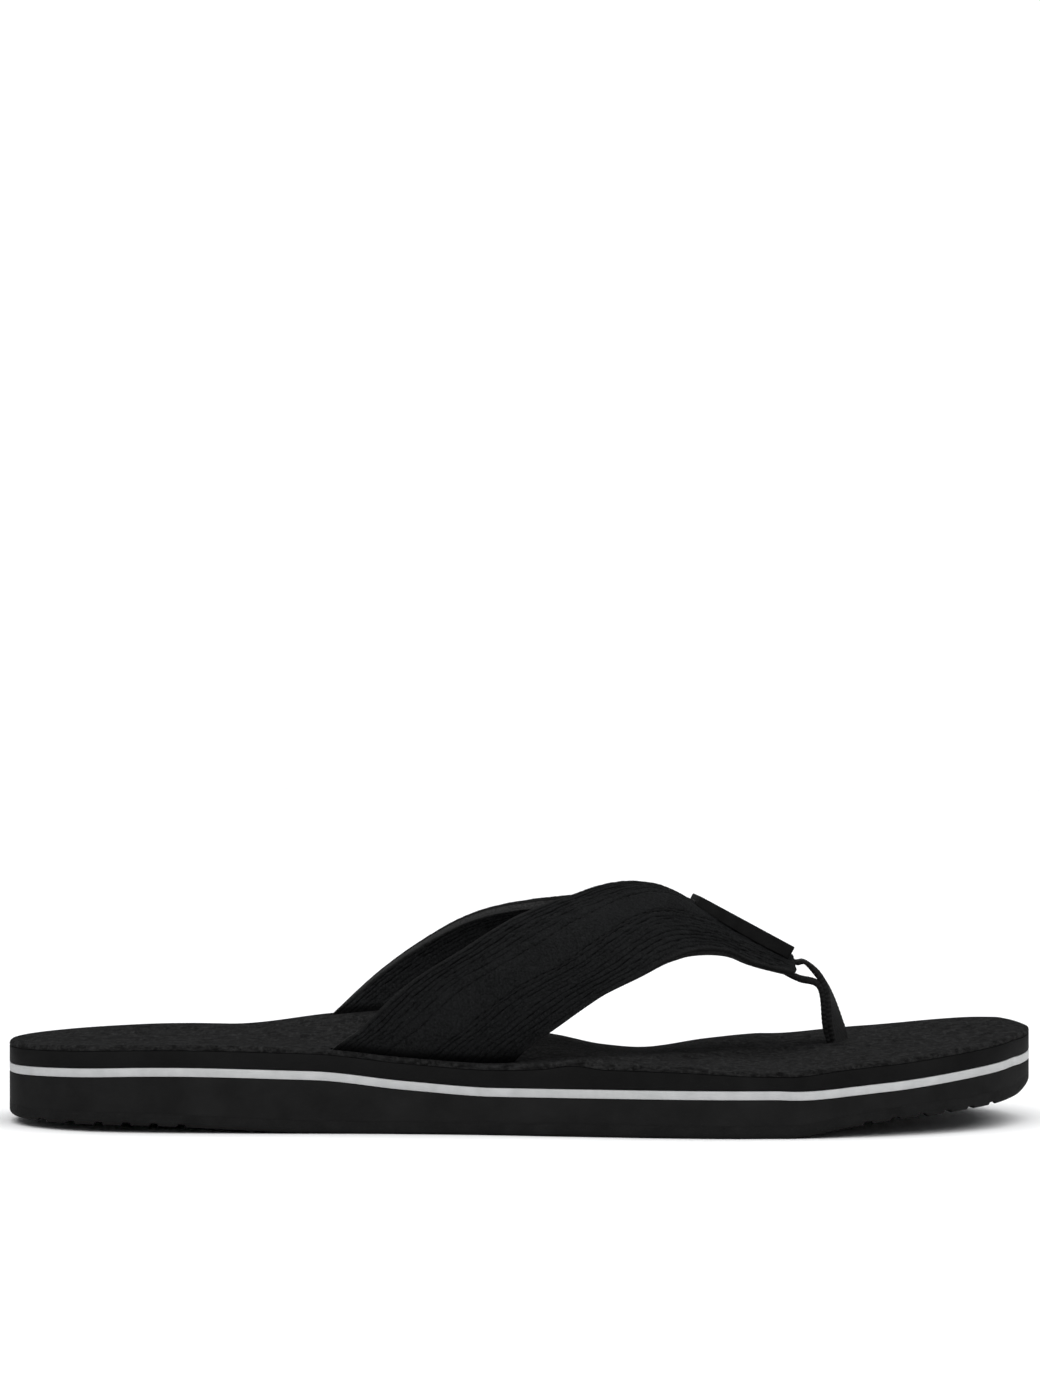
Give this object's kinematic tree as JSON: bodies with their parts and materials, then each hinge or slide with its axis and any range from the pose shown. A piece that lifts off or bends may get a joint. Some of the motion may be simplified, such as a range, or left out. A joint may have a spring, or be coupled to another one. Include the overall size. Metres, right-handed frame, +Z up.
{
  "type": "flip flop",
  "caption": "Right-foot flip flop: layered foam sole with contoured footbed and tread, padded Y-shaped strap, woven toe post and a plain rectangular badge.",
  "frame": {"origin": "on the ground, at the middle of the bottom of the sandal's box", "axes": "+X from heel to toes, +Y to the inner side of the foot (medial), +Z up"},
  "size_m": [0.288, 0.103, 0.0675],
  "materials": {
    "cover": "matte brushed microfibre with a short suede-like grain",
    "foam": "matte smooth EVA foam",
    "stripe": "matte light grey EVA foam",
    "midsole": "matte smooth EVA foam",
    "outsole": "matte moulded rubber",
    "strap_upper": "matte fine-ribbed textile with a napped edge",
    "strap_padding": "matte open-cell foam sheet",
    "strap_lining": "matte knitted lining",
    "stitching": "twisted polyester thread, slight sheen",
    "webbing": "tight woven nylon webbing with ribs",
    "anchor": "moulded plastic",
    "badge": "satin black plate with worn edges",
    "rivet": "nickel-plated steel"
  },
  "bodies": {
    "root": {"footbed_cover": "cover", "footbed_foam": "foam", "stripe_layer": "stripe", "midsole": "midsole", "outsole": "outsole", "lateral_strap_lining": "strap_lining", "lateral_strap_padding": "strap_padding", "lateral_strap_upper": "strap_upper", "medial_strap_lining": "strap_lining", "medial_strap_padding": "strap_padding", "medial_strap_upper": "strap_upper", "lateral_strap_stitching_rear": "stitching", "lateral_strap_stitching_front": "stitching", "medial_strap_stitching_rear": "stitching", "medial_strap_stitching_front": "stitching", "toe_post_webbing": "webbing", "toe_post_anchor": "anchor", "badge_plate": "badge", "badge_rivet_rear": "rivet", "badge_rivet_front": "rivet", "badge_washer_rear": "rivet", "badge_washer_front": "rivet"}
  },
  "joints": []
}
